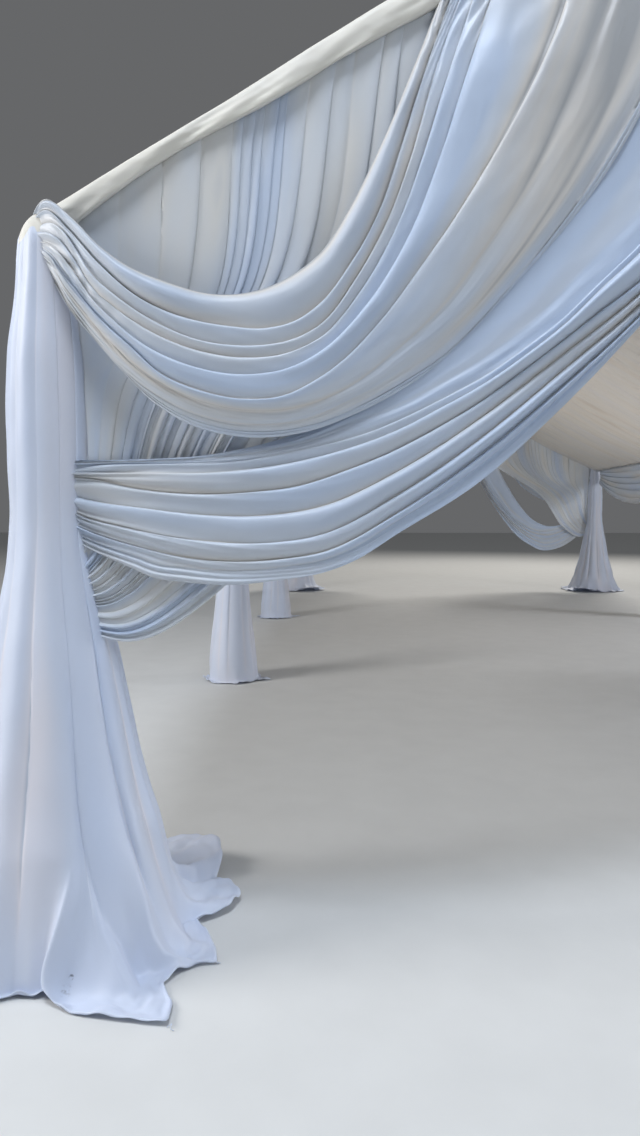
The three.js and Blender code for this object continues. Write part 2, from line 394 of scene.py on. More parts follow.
# How the folds vary: by how much, over what share of their length, over how many folds or what share of the
# width, and in how many waves where it isn't the usual number
foldLook = {
    "height": (0.22, 0.45, 1.3),       # share of each fold's height
    "line": (0.05, 0.7, 1.1),          # share of a fold's width that its creases wander
    "pleats": 2, "drift": (1.2, 0.8, 0.5),  # fine pleats to a fold, and how far they drift, in pleats
    "sway": (0.0025, 0.5, 0.3, 16),    # metres out
    "crumple": (0.10, 0.05, 24),       # each cloth has its own height of these
    # painted light and shade, cooler on the ridges and warmer in the hollows: the height of fold that has all
    # of it, and the most; where on the section it changes sign
    "ridge": 0.02, "ridgeMost": 1.4, "ridgeMiddle": 0.45,
    # painted crease shade: the height of fold that has all of it, and how far from the crease it reaches
    "crease": 0.014, "creaseWidth": 0.08,
}


# A surface between fold lines: straight from each line to the next, out by the fold's section, with
# fine pleats that fade away from the gathered ends and soft waves along the folds. The fourth channel is
# painted light and shade on the cloth's white: painted warm shade in the creases, painted cool sky light on
# the ridges, and each fold's own painted light.
def foldedCloth(grid, folds, base, perFold, seed, gather=(0.008, 0.008, 0.09), bulge=0.02, crumple=0.0008,
                lineOut=None, warmth=None, crease=0.8):
    look = foldLook
    count, columns = len(grid) - 1, grid.shape[1]
    across = np.linspace(0, count, count * perFold + 1)
    number = np.minimum(across.astype(int), count - 1)
    fraction = np.repeat((across - number)[:, None], columns, 1)
    s = np.linspace(0, 1, columns)[None, :]
    widths = np.linalg.norm(np.diff(grid, axis=0), axis=2).mean(1)
    v = np.interp(across, np.arange(count + 1), np.r_[0, np.cumsum(widths)] / widths.sum())[:, None]

    # The lines' values, mixed by how far a point is from one line to the next
    def between(values):
        return values[number] * (1 - fraction) + values[number + 1] * fraction

    table = np.array(folds, float)
    change, *spans = look["height"]
    heights = 1 + change * waves(s, np.arange(count)[:, None] * 1.0, seed, *spans)
    heights = alongEach(table[:, :3], s[0]) * heights
    change, *spans = look["line"]
    lineShift = change * waves(s, np.arange(count + 1)[:, None] * 1.0, seed + 4, *spans)
    lineShift[[0, -1]] = 0
    sideways, b = foldSection(fraction, alongEach(table[:, 3:], s[0])[number])
    upper, lower = grid[number], grid[number + 1]
    spot = upper + (lower - upper) * (sideways + between(lineShift))[..., None]
    # out from the frame
    depth = base(s[0])[None, :] + heights[number] * b + bulge * np.sin(np.pi * v)
    if lineOut:
        depth = depth + between(alongEach(lineOut, s[0]))
    fade = gather[0] * np.exp(-s / gather[2]) + gather[1] * np.exp(-(1 - s) / gather[2])
    change, *spans = look["drift"]
    turn = across[:, None] * look["pleats"] + change * waves(s, v, seed + 1, *spans)
    change, *spans = look["sway"]
    depth = depth + fade * np.sin(2 * np.pi * turn) + change * waves(s, v, seed + 2, *spans)
    depth = depth + crumple * waves(s, v, seed + 3, *look["crumple"])
    # painted light and shade: each fold's own, cool on the ridges, warm in the hollows, and painted crease
    # shade
    own = alongEach(warmth or [(0, 0, 0)] * count, s[0])
    centre = np.clip(across - 0.5, 0, count - 1)
    before = np.minimum(centre.astype(int), count - 2)
    share = (centre - before)[:, None]
    paintedShading = own[before] * (1 - share) + own[before + 1] * share
    paintedShading = paintedShading + np.clip(heights[number] / look["ridge"], 0, look["ridgeMost"]) * (look["ridgeMiddle"] - b)
    paintedShading = paintedShading + crease * np.exp(-b / look["creaseWidth"]) * np.clip(heights[number] / look["crease"], 0, 1)
    return np.concatenate([spot, depth[..., None], paintedShading[..., None]], -1)


# The fold lines as a grid. The hem adds two lines at even steps before the last one, closer where the last
# fold is narrow, so that it takes a share of that at most.
def lineGrid(lines, columns, hem, hemShare=0.6):
    grid = np.stack([evenLine(line, columns) for line in lines])
    back = grid[-2] - grid[-1]
    gap = np.linalg.norm(back, axis=1)[:, None]
    step = np.minimum(hem, hemShare * gap) / 2
    extra = [grid[-1] + back / gap * step * k for k in (2, 1)]
    return np.concatenate([grid[:-1], extra, grid[-1:]])


# Fold lines of the front gable's upper swag, from the leg's top to the rafter: (in from the posts, height).
# Each fold has its height at the leg, the middle and the roof, and how it leans at each. Each fold's own
# painted light and shade is given there too, out is how far the whole swag stands out, and lineOut how much
# further each line does.
upperSwag = {
    "lines": [
        [(-0.06, 2.53), (0.04, 2.585), (0.13, 2.52), (0.24, 2.41), (0.34, 2.34), (0.47, 2.288),
         (0.58, 2.258), (0.72, 2.262), (0.85, 2.31), (0.96, 2.39), (1.05, 2.52), (1.12, 2.65), (1.19, 2.80),
         (1.25, 2.95), (1.36, 3.24)],
        [(-0.06, 2.52), (0.04, 2.55), (0.12, 2.48), (0.24, 2.35), (0.37, 2.24), (0.50, 2.18), (0.67, 2.145),
         (0.78, 2.14), (0.88, 2.165), (0.96, 2.22), (1.06, 2.35), (1.15, 2.51), (1.22, 2.70), (1.28, 2.89),
         (1.40, 3.26)],
        [(-0.06, 2.505), (0.04, 2.51), (0.24, 2.29), (0.42, 2.16), (0.56, 2.10), (0.72, 2.08), (0.86, 2.10),
         (0.96, 2.15), (1.08, 2.30), (1.18, 2.48), (1.26, 2.69), (1.32, 2.90), (1.44, 3.28)],
        [(-0.06, 2.49), (0.04, 2.475), (0.24, 2.25), (0.42, 2.12), (0.57, 2.06), (0.72, 2.04), (0.86, 2.06),
         (0.96, 2.11), (1.10, 2.27), (1.21, 2.46), (1.30, 2.69), (1.37, 2.92), (1.49, 3.31)],
        [(-0.06, 2.475), (0.04, 2.44), (0.24, 2.21), (0.40, 2.08), (0.57, 2.01), (0.72, 1.99), (0.86, 2.01),
         (0.96, 2.06), (1.12, 2.22), (1.25, 2.43), (1.35, 2.68), (1.43, 2.93), (1.55, 3.34)],
        [(-0.06, 2.46), (0.04, 2.41), (0.12, 2.31), (0.24, 2.17), (0.35, 2.07), (0.44, 1.99), (0.58, 1.93),
         (0.71, 1.905), (0.86, 1.92), (0.96, 1.97), (1.18, 2.17), (1.29, 2.31), (1.42, 2.49), (1.53, 2.67),
         (1.63, 2.86), (1.73, 3.09), (1.84, 3.48)],
        [(-0.06, 2.445), (0.04, 2.385), (0.12, 2.27), (0.23, 2.14), (0.38, 2.00), (0.58, 1.90),
         (0.73, 1.872), (0.90, 1.885), (1.06, 1.95), (1.22, 2.07), (1.39, 2.23), (1.50, 2.38), (1.62, 2.56),
         (1.75, 2.84), (1.86, 3.14), (1.95, 3.55)],
        [(-0.06, 2.43), (0.04, 2.36), (0.12, 2.24), (0.22, 2.11), (0.37, 1.965), (0.56, 1.865),
         (0.73, 1.832), (0.90, 1.845), (1.06, 1.91), (1.22, 2.00), (1.40, 2.14), (1.56, 2.32), (1.70, 2.52),
         (1.86, 2.82), (1.98, 3.13), (2.10, 3.65)],
        [(-0.06, 2.41), (0.04, 2.33), (0.12, 2.215), (0.20, 2.12), (0.30, 2.01), (0.40, 1.91), (0.51, 1.84),
         (0.71, 1.79), (0.88, 1.80), (0.96, 1.82), (1.05, 1.855), (1.17, 1.912), (1.29, 1.985),
         (1.41, 2.065), (1.52, 2.175), (1.62, 2.29), (1.76, 2.46), (1.90, 2.65), (2.01, 2.84), (2.20, 3.25),
         (2.36, 3.80)],
    ],
    "folds": [(0.012, 0.036, 0.020, -0.4, -0.35, -0.3), (0.010, 0.022, 0.014, -0.9, -0.9, -0.8),
              (0.010, 0.018, 0.012, -0.9, -0.9, -0.8), (0.010, 0.018, 0.012, -0.9, -0.9, -0.8),
              (0.010, 0.022, 0.014, -0.9, -0.85, -0.7), (0.010, 0.020, 0.020, -0.9, -0.95, -0.9),
              (0.003, 0.002, 0.010, 0.0, 0.0, 0.0), (0.003, 0.003, 0.010, 0.0, 0.0, 0.0),
              (0.003, 0.003, 0.005, -0.7, -0.7, -0.8), (0.003, 0.003, 0.005, -0.7, -0.7, -0.8)],
    "hem": 0.036,
    "warmth": [(0.5, 0.8, 0.4), (0, 0.1, 0), (0.2, 0.1, 0), (0, -0.2, 0.1), (-0.2, -0.5, 0.2),
               (0, 0.1, 0.9), (0, 0.3, 1.1), (0, 0.7, 0.3), (0, 0.1, -0.4), (0, 0, -0.4)],
    "out": ((0, -0.01), (0.035, 0.075), (0.12, 0.135), (0.5, 0.138), (0.85, 0.105), (1, 0.050)),
    "lineOut": [(0, 0, 0)] * 5 + [(0, 0.004, 0), (0, -0.004, -0.002), (0, -0.018, -0.010),
                (0, -0.040, -0.020), (0, -0.043, -0.021), (0, -0.048, -0.024)],
}
lowerSwag = {
    "lines": [
        [(0.05, 1.725), (0.19, 1.719), (0.36, 1.721), (0.60, 1.738), (0.69, 1.754), (0.84, 1.793),
         (0.95, 1.832), (1.10, 1.92), (1.25, 2.03), (1.45, 2.25), (1.76, 2.66), (2.01, 3.06), (2.30, 3.55),
         (2.52, 3.93), (2.97, 4.245)],
        [(0.05, 1.71), (0.19, 1.711), (0.40, 1.712), (0.66, 1.728), (0.89, 1.769), (1.06, 1.832),
         (1.23, 1.898), (1.38, 1.98), (1.52, 2.065), (1.64, 2.156), (1.83, 2.345), (2.01, 2.54),
         (2.45, 3.22), (2.97, 4.235)],
        [(0.05, 1.70), (0.19, 1.702), (0.34, 1.702), (0.61, 1.702), (0.73, 1.715), (0.89, 1.745),
         (1.02, 1.774), (1.13, 1.807), (1.24, 1.853), (1.42, 1.940), (1.50, 1.983), (1.63, 2.071),
         (1.76, 2.172), (1.88, 2.288), (2.01, 2.414), (2.45, 3.08), (2.97, 4.225)],
        [(0.05, 1.68), (0.19, 1.675), (0.35, 1.673), (0.61, 1.672), (0.73, 1.682), (0.93, 1.716),
         (1.06, 1.752), (1.20, 1.803), (1.38, 1.895), (1.50, 1.962), (1.63, 2.051), (1.76, 2.152),
         (1.88, 2.268), (2.01, 2.390), (2.45, 3.04), (2.97, 4.215)],
        [(0.05, 1.655), (0.19, 1.645), (0.32, 1.620), (0.455, 1.604), (0.59, 1.601), (0.73, 1.610),
         (0.89, 1.630), (1.06, 1.683), (1.20, 1.738), (1.38, 1.832), (1.50, 1.905), (1.63, 2.000),
         (1.76, 2.100), (1.88, 2.196), (2.01, 2.295), (2.45, 2.93), (2.97, 4.205)],
        [(0.05, 1.61), (0.13, 1.585), (0.36, 1.55), (0.56, 1.53), (0.77, 1.53), (0.96, 1.56), (1.23, 1.68),
         (1.50, 1.85), (1.76, 2.05), (2.02, 2.26), (2.47, 2.88), (2.97, 4.195)],
        [(0.05, 1.565), (0.14, 1.525), (0.28, 1.49), (0.42, 1.462), (0.56, 1.445), (0.77, 1.44),
         (0.96, 1.47), (1.23, 1.61), (1.50, 1.79), (1.76, 2.00), (2.02, 2.225), (2.49, 2.84), (2.97, 4.19)],
        [(0.05, 1.52), (0.15, 1.475), (0.35, 1.415), (0.46, 1.39), (0.63, 1.37), (0.84, 1.38), (0.96, 1.40),
         (1.23, 1.54), (1.50, 1.73), (1.76, 1.95), (2.02, 2.19), (2.5, 2.80), (2.97, 4.18)],
        [(0.05, 1.475), (0.16, 1.41), (0.31, 1.345), (0.38, 1.315), (0.49, 1.30), (0.63, 1.29),
         (0.84, 1.31), (0.96, 1.33), (1.07, 1.37), (1.23, 1.47), (1.47, 1.62), (1.76, 1.88), (2.02, 2.155),
         (2.52, 2.77), (2.97, 4.17)],
    ],
    "folds": [(0.002, 0.004, 0.010, 0.0, 0.0, 0.0), (0.003, 0.005, 0.014, 0.0, 0.0, 0.0),
              (0.006, 0.007, 0.007, -0.8, -0.9, -0.8), (0.012, 0.042, 0.036, -0.8, -0.75, -0.8),
              (0.012, 0.026, 0.022, -0.9, -0.6, -0.45), (0.012, 0.031, 0.025, -0.85, -0.35, -0.2),
              (0.012, 0.032, 0.025, -0.85, -0.35, -0.2), (0.012, 0.027, 0.020, -0.85, -0.35, -0.2),
              (0.001, 0.001, 0.001, 0, 0, 0), (0.001, 0.001, 0.001, 0, 0, 0)],
    "hem": 0.05,
    # each fold's own painted light and shade at the leg, the middle and the roof: below 0 bluer, above 0
    # warmer
    "warmth": [(-0.5, -1.2, -0.6), (-0.5, -1.2, -0.6), (-0.3, -0.7, -0.6), (0, 0.5, 0.5), (0, 0.1, 0.1),
               (0, 0.1, 0.3), (0, 0, 0.2), (-0.5, -1.0, -0.6), (-0.3, -1.2, -0.7), (0, -0.9, -0.5)],
    "out": ((0, 0.045), (0.06, 0.085), (0.2, 0.095), (0.7, 0.090), (0.9, 0.065), (1, 0.03)),
    "lineOut": [(0, -0.024, -0.024), (0, -0.016, -0.016), (0, -0.004, -0.006), (0, 0, 0), (0, 0.004, 0),
                (0, 0.004, 0), (0, 0.002, 0), (0, 0, 0), (0, 0.002, 0.002), (0, 0.007, 0.006),
                (-0.002, 0.010, 0.008)],
}


# How far out at each place along, as a cubic through given values
def outBy(table):
    places, values = zip(*table)
    return lambda s: cubicThrough(places, values, s)


# Widths of the back curtain's folds along the rafter, from the leg, and how high and sharp each is.
# Broad smooth folds lie between tight groups of pleats.
curtainLook = {
    "start": 0.10, "span": 2.5,   # from the posts, where the first fold begins, and how far the folds reach
    "drop": 0.03,                 # its upper edge, below the roof's top
    "broad": ((0.19, 0.005, 0.5), (0.18, 0.007, 0.7), (0.15, 0.008, 0.9), (0.14, 0.007, 0.6)),
    "tight": ((0.040, 0.010, 0.9), (0.050, 0.012, 0.9), (0.036, 0.010, 0.9), (0.052, 0.012, 0.9),
              (0.040, 0.010, 0.9)),
    "middle": ((0.085, 0.009, 0.7), (0.105, 0.011, 0.9), (0.080, 0.007, 0.5), (0.110, 0.011, 0.9)),
    "order": ("broad", "tight", "middle", "middle", "tight", "broad", "middle"),
    # painted light and shade of each group of folds: the tight pleats bluer, the broad folds warmer
    "warmth": {"broad": 0.44, "tight": -0.88, "middle": 0.11},  # of each fold's upper end
    # the creases at the leg and at the far side, from the rafter down to the tie
    "knots": (0, 0.33, 0.53, 0.78, 0.91, 1),
    "near": ((0.125, 2.12), (0.137, 1.95), (0.145, 1.63), (0.12, 1.45), (0.08, 1.33)),
    "far": ((2.12, 2.62), (1.16, 1.99), (0.60, 1.26), (0.29, 1.085), (0.06, 1.15)),
    "out": ((0, 0.038), (0.6, 0.038), (0.9, 0.05), (1, 0.055)),
    # shares of a fold's height at the rafter and half-way, and every other fold's height at the tie
    "topHeight": 0.6, "middleHeight": 0.9, "tieHeight": 0.016, "tieLean": 0.6,
    # a pleat this narrow fades below the rafter, but one in three is a little higher there instead
    "narrow": 0.08, "lasting": 3, "lastingHeight": 1.1,
}


# The back curtain: each crease runs from the rafter to the tie on the leg, and takes its share of the curves
# of the near crease and the far one
def curtainGrid(columns, perFold, seed):
    look = curtainLook
    folds = [fold for group in look["order"] for fold in look[group]]
    warmth = [(look["warmth"][group], 0, 0) for group in look["order"] for fold in look[group]]
    edges = np.r_[0, np.cumsum([fold[0] for fold in folds])]
    share = (edges / edges[-1])[:, None, None]
    inward = look["start"] + edges * look["span"] / edges[-1]
    top = np.stack([inward, roofTopAtPost - look["drop"] + roofSlope * inward], -1)[:, None, :]
    near, far = np.array(look["near"])[None], np.array(look["far"])[None]
    knots = np.concatenate([top, near + (far - near) * share], 1)
    t = np.linspace(0, 1, columns)
    grid = np.stack([cubicThrough(look["knots"], row, t) for row in knots])
    table = []
    for i, (width, height, lean) in enumerate(folds):
        stays = 1 if width > look["narrow"] else look["lastingHeight"] * (i % look["lasting"] == 0)
        table.append((look["topHeight"] * height, look["middleHeight"] * height * stays,
                      look["tieHeight"] * (i % 2), lean, lean, look["tieLean"]))
    # with less painted crease shade than the swags
    return foldedCloth(grid, table, outBy(look["out"]), perFold, seed, gather=(0.002, 0, 0.06), bulge=0.0,
                       crumple=0.0002, warmth=warmth, crease=0.4)


# The cloth wrapped over the rafter and down the corner, between its top and bottom edges: (in from the posts,
# height over the roof's edge). At the corner it turns down into the leg drape.
wrapLook = {
    "top": [(-0.060, -0.20), (-0.070, -0.13), (-0.078, -0.055), (-0.055, -0.005), (0.05, 0.050),
            (0.30, 0.188), (0.80, 0.478), (1.60, 0.942), (3.05, 1.781)],
    "bottom": [(0.045, -0.21), (0.046, -0.15), (0.055, -0.10), (0.085, -0.050), (0.17, 0.025),
               (0.35, 0.140), (0.82, 0.395), (1.60, 0.815), (3.05, 1.655)],
    "lift": 0.012, "length": 4.2, "steps": 26,
    # its section from the top edge: place along it, share of the way down, and how far out
    "places": (0, 0.15, 0.3, 0.5, 0.8, 0.92, 1),
    "across": (0, 0, 0.03, 0.4, 0.88, 1.0, 0.98),
    "outs": (-0.08, -0.005, 0.055, 0.074, 0.070, 0.064, 0.050),
    "front": (0.2, 0.5),  # where on the section the waves below grow
    # each wave's height, its length along and the share of the section that it takes
    "ripple": (0.0034, 0.55, 1.4), "slant": 0.5, "crinkle": (0.0004, 0.12, 0.8),
    "ridge": 0.004, "ridges": 3.1, "ridgeChange": (0.4, 0.8, 2.0),
    "wander": (0.04, 0.7, 1),
}


# Across, it comes over the roof's edge, stands out in front and turns back under at its lower edge. Waves
# along it, and ridges that are a sine across it, stand on the front.
def wrapGrid(columns, seed):
    look = wrapLook
    top, bottom = evenLine(look["top"], columns), evenLine(look["bottom"], columns)
    t = np.linspace(0, 1, look["steps"])
    outs = cubicThrough(look["places"], look["outs"], t)[:, None]
    across = cubicThrough(look["places"], look["across"], t)[:, None]
    s = np.linspace(0, look["length"], columns)[None, :]
    front = smoothRamp(t, *look["front"])[:, None]
    t = t[:, None]
    height, *spans = look["ripple"]
    ripple = height * waves(s + look["slant"] * t, t, seed, *spans)
    height, *spans = look["crinkle"]
    ripple = ripple + height * waves(s, t, seed + 1, *spans)
    change, *spans = look["ridgeChange"]
    change = (1 - change) + change * waves(s, t, seed + 2, *spans)
    ridges = look["ridge"] * np.abs(np.sin(look["ridges"] * np.pi * t)) * change * front
    change, *spans = look["wander"]
    across = across + change * front * waves(s, 0 * s, seed + 3, *spans)
    spot = top[None] + (bottom - top)[None] * across[..., None]
    height = roofTopAtPost + look["lift"] + spot[..., 1]
    return np.stack([spot[..., 0], height, outs + front * ripple + ridges + 0 * s], -1)


# A cloth piece from its grid, with the parts that it replaces hidden
def addCloth(name, points, turned, replaces=(), material=drapeCloth,
             wrap=False):
    piece = gridPiece("draped_" + name, points, material, turned, wrap)
    if replaces:
        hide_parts(*replaces)
    declareSheet(points, wrap)


# Steps along and per fold, for a piece that is close to the camera
gableSteps = {"curtain": (90, 9), "swag": (190, 14), "wrap": 280}


# One gable's curtains, rafter wraps and swags, the right half a mirror of the left with folds of its own
def addGable(end, ySign, upper, lower, details, seed):
    for (side, xSign), detail in zip(sides, details):
        turned = xSign * ySign > 0
        seed += 10
        columns, perFold = gableSteps["curtain"]
        flat = curtainGrid(int(columns * detail), int(perFold * detail) + 1, seed)
        name = f"{end}_{side}_curtain"
        addCloth(name, inCorner(flat, xSign, ySign), not turned, [name],
                 material=curtainCloth)
        flat = wrapGrid(int(gableSteps["wrap"] * detail), seed + 1)
        addCloth(f"{end}_{side}_rafter_wrap", inCorner(flat, xSign, ySign), turned,
                 material=bandCloth)
        columns, perFold = gableSteps["swag"]
        for part, look in (("upper_swag", upper), ("lower_swag", lower)):
            seed += 2
            grid = lineGrid(look["lines"], int(columns * detail), look["hem"])
            flat = foldedCloth(grid, look["folds"], outBy(look["out"]), int(perFold * detail), seed,
                               lineOut=look["lineOut"], warmth=look["warmth"])
            name = f"{end}_{side}_{part}"
            addCloth(name, inCorner(flat, xSign, ySign), turned, [name])


rearHang = {"drop": 0.58, "start": 0.05, "span": 2.6, "fullness": 0.8}


# The rear lower swag hangs lower than the front one, by half a sine wave to the power of its fullness
def hungLower(look, hang):
    lines = []
    for line in look["lines"]:
        lower = []
        for inward, height in line:
            t = min(max((inward - hang["start"]) / hang["span"], 0), 1)
            lower.append((inward, height - hang["drop"] * math.sin(math.pi * t) ** hang["fullness"]))
        lines.append(lower)
    return {**look, "lines": lines}


addGable("front", -1, upperSwag, lowerSwag, (1.0, 0.8), 100)
addGable("rear", 1, upperSwag, hungLower(lowerSwag, rearHang), (rearDetail, rearDetail), 300)
print("gable drapes made")


# Leg drapes

cornerLeg = {
    # radius at each height, from the top down to the knee, where the cloth begins to spread over the floor
    "heights": (2.528, 2.505, 2.44, 2.36, 2.24, 2.12, 1.95, 1.73, 1.51, 1.37, 1.22, 1.03, 0.77, 0.54, 0.42),
    "radii": (0.055, 0.080, 0.094, 0.100, 0.112, 0.128, 0.138, 0.141, 0.140, 0.152, 0.177, 0.216, 0.262,
              0.312, 0.348),
    "wrap": 1.51,  # the height under which the folds grow
    # lines down the pooled cloth, by angle from the inward direction: angle at the knee; then angle, radius
    # and height where it meets the floor; then angle and radius at the hem, and its height where that is
    # lifted. Some also give a point in between, as angle, radius and height.
    "lines": (
        (-180, (-180, 0.50, 0.03), (-180, 0.56)), (-163, (-163, 0.50, 0.08), (-162, 0.62)),
        (-147, (-147, 0.45, 0.02), (-146, 0.50)), (-130, (-131, 0.48, 0.08), (-132, 0.59)),
        (-115, (-116, 0.43, 0.02), (-117, 0.49)), (-101, (-102, 0.45, 0.09), (-103, 0.51)),
        (-91, (-92, 0.41, 0.02), (-92, 0.435)), (-83, (-84, 0.415, 0.03), (-80, 0.438)),
        (-75, (-77.0, 0.403, 0.04), (-75.5, 0.425)),
        (-67, (-77.5, 0.447, 0.095), (-71.2, 0.511), (-69.5, 0.395, 0.30)),
        (-62, (-68.0, 0.435, 0.050), (-67.5, 0.545), (-62.5, 0.390, 0.26)),
        (-57, (-59.5, 0.475, 0.060), (-61.0, 0.600), (-56.5, 0.422, 0.225)),
        (-55, (-49.5, 0.560, 0.034), (-47.1, 0.762), (-53.0, 0.424, 0.215)),
        (-53, (-44.5, 0.520, 0.026), (-41.0, 0.679), (-50.0, 0.412, 0.205)),
        (-50, (-41.5, 0.452, 0.030), (-37.1, 0.574), (-48.0, 0.404, 0.215)),
        (-41, (-36.0, 0.465, 0.050), (-29.3, 0.565)),
        (-31, (-31.0, 0.480, 0.115), (-22.8, 0.590), (-30.5, 0.425, 0.250)),
        (-24, (-20.0, 0.470, 0.025), (-19.1, 0.649)), (-15, (-11.0, 0.470, 0.050), (-11.0, 0.605)),
        (-5, (2.0, 0.440, 0.025), (5.0, 0.497)), (7, (11.0, 0.458, 0.085), (13.0, 0.620, 0.030)),
        (17, (20.0, 0.460, 0.065), (21.5, 0.684, 0.015)), (27, (30.0, 0.465, 0.100), (31.0, 0.674, 0.035)),
        (36, (38.0, 0.465, 0.055), (38.6, 0.650, 0.010)), (41, (42.5, 0.485, 0.110), (42.0, 0.710, 0.070)),
        (50, (51.0, 0.490, 0.085), (50.0, 0.775, 0.085)), (60, (61.0, 0.490, 0.110), (60.5, 0.770, 0.095)),
        (71, (72.0, 0.480, 0.050), (73.0, 0.700, 0.060)), (84, (85.0, 0.470, 0.080), (86.0, 0.600, 0.010)),
        (100, (100, 0.45, 0.02), (101, 0.55)), (116, (117, 0.50, 0.08), (118, 0.61)),
        (132, (132, 0.45, 0.02), (132, 0.51)), (148, (148, 0.51, 0.08), (147, 0.63)),
        (164, (164, 0.46, 0.02), (164, 0.53)),
    ),
    # folds down the leg: where each begins, its height at the wrap and low down, and how it leans
    "folds": ((-180, 0.006, 0.026, 0.3), (-146, 0.008, 0.020, -0.4), (-122, 0.005, 0.022, 0.1),
              (-88, 0.004, 0.008, 0.5), (-57, 0.004, 0.014, -0.7), (-31, 0.005, 0.021, -0.9),
              (-12, 0.003, 0.014, 0.2), (8, 0.005, 0.022, 0.1), (34, 0.007, 0.020, 0.4),
              (56, 0.007, 0.026, -0.2), (88, 0.007, 0.022, 0.3), (118, 0.006, 0.028, 0.1),
              (152, 0.008, 0.022, 0.4)),
    "crumple": 0.006,                  # height of the crumples near the floor
    "columns": 372, "rows": (66, 56),  # round the leg, and above and below the knee
}
# The middle leg's lines: angle, and radius at the hem
middleHem = ((-180, 0.29), (-150, 0.26), (-120, 0.28), (-100, 0.25), (-75, 0.28), (-50, 0.26), (-30, 0.25),
             (-20, 0.27), (-8, 0.37), (-2, 0.34), (5, 0.26), (30, 0.28), (55, 0.25), (85, 0.29),
             (110, 0.25), (140, 0.28), (160, 0.25))


# A line down a middle leg's small pool. At whole twenties of degrees it lands a little further in and lower.
def middleLine(angle, radius):
    landing = (0.235, 0.03) if angle % 20 else (0.225, 0.015)
    return angle, (angle, *landing), (angle, radius)


middleLeg = {
    "heights": (2.40, 2.25, 2.00, 1.70, 1.40, 1.10, 0.85, 0.60, 0.37, 0.20),
    "radii": (0.072, 0.085, 0.098, 0.108, 0.118, 0.134, 0.150, 0.172, 0.200, 0.218),
    "wrap": 1.40,
    "lines": tuple(middleLine(angle, radius) for angle, radius in middleHem),
    "folds": ((-180, 0.004, 0.007, 0.4), (-150, 0.004, 0.009, -0.4), (-112, 0.004, 0.007, 0.5),
              (-88, 0.003, 0.006, 0.3), (-46, 0.004, 0.008, 0.5), (-24, 0.003, 0.006, -0.5),
              (12, 0.004, 0.009, 0.3), (40, 0.004, 0.008, -0.4), (78, 0.004, 0.008, 0.5),
              (104, 0.003, 0.009, 0.3), (146, 0.004, 0.007, -0.4)),
    "crumple": 0.003, "columns": 170, "rows": (48, 16),
}

# How the folds down every leg vary: by how much, and over what span round and down
legFoldLook = {
    "drift": (0.05, 2.0, 2.4), "driftHeights": (2.2, 1.2),  # radians, growing between those heights
    "height": (0.25, 1.0, 1.6), "fullHeight": 0.6,          # share of a fold's height, whole from there down
    "ripple": (0.0018, 0.6, 0.5),                           # metres out
    "middle": 0.45,                                         # share of a fold's height inside the profile
    "deep": 0.014,                                          # height of the folds that have all the painted light and shade
    # painted light and shade: a base, less on the ridges, and painted shade in the creases
    "warmth": 0.25, "ridge": 0.5, "crease": 0.8, "creaseWidth": 0.05,
}

# How the cloth lies on the floor round every leg
poolLook = {
    "places": (0, 0.24, 0.52, 1),         # of a line's four points, from the knee to the hem
    "between": (0.46, 0.48, 0.012),       # the second's share of the way out and up, and how far under that
    "rim": 0.006,                         # the cloth's height over the floor
    "straight": 0.35, "fade": 0.42,       # where the facets are flat, and where the folds have died away
    "low": (0.35, 0.04),                  # heights between which the crumples grow
    "crumple": (0.20, 16), "fineCrumple": (0.3, 0.06, 20),
    "lift": (0.012, 0.30, 2),             # of some stretches of the hem: height, span and the most
    "hem": (0.0015, 0.0035, 0.0045, 0.0015),  # added to the last rows, as a rolled hem
}


# Lines down the pooled cloth, each as four points from the knee to the hem: angle, radius and height. The
# first comes again at the end, one turn further on, to close the round.
def legTracks(look):
    knee, kneeRadius = look["heights"][-1], look["radii"][-1]
    outShare, upShare, under = poolLook["between"]
    tracks = []
    for start, landing, hem, *between in look["lines"]:
        angle, radius, height = landing
        usual = ((start + angle) / 2, kneeRadius + (radius - kneeRadius) * outShare,
                 height + (knee - height) * upShare - under)
        rim = hem[2] if len(hem) > 2 else poolLook["rim"]
        second = between[0] if between else usual
        tracks.append([(start, kneeRadius, knee), second, landing, (hem[0], hem[1], rim)])
    tracks.append([(angle + 360, radius, height) for angle, radius, height in tracks[0]])
    tracks = np.array(tracks, float)
    tracks[..., 0] = np.radians(tracks[..., 0])
    return tracks
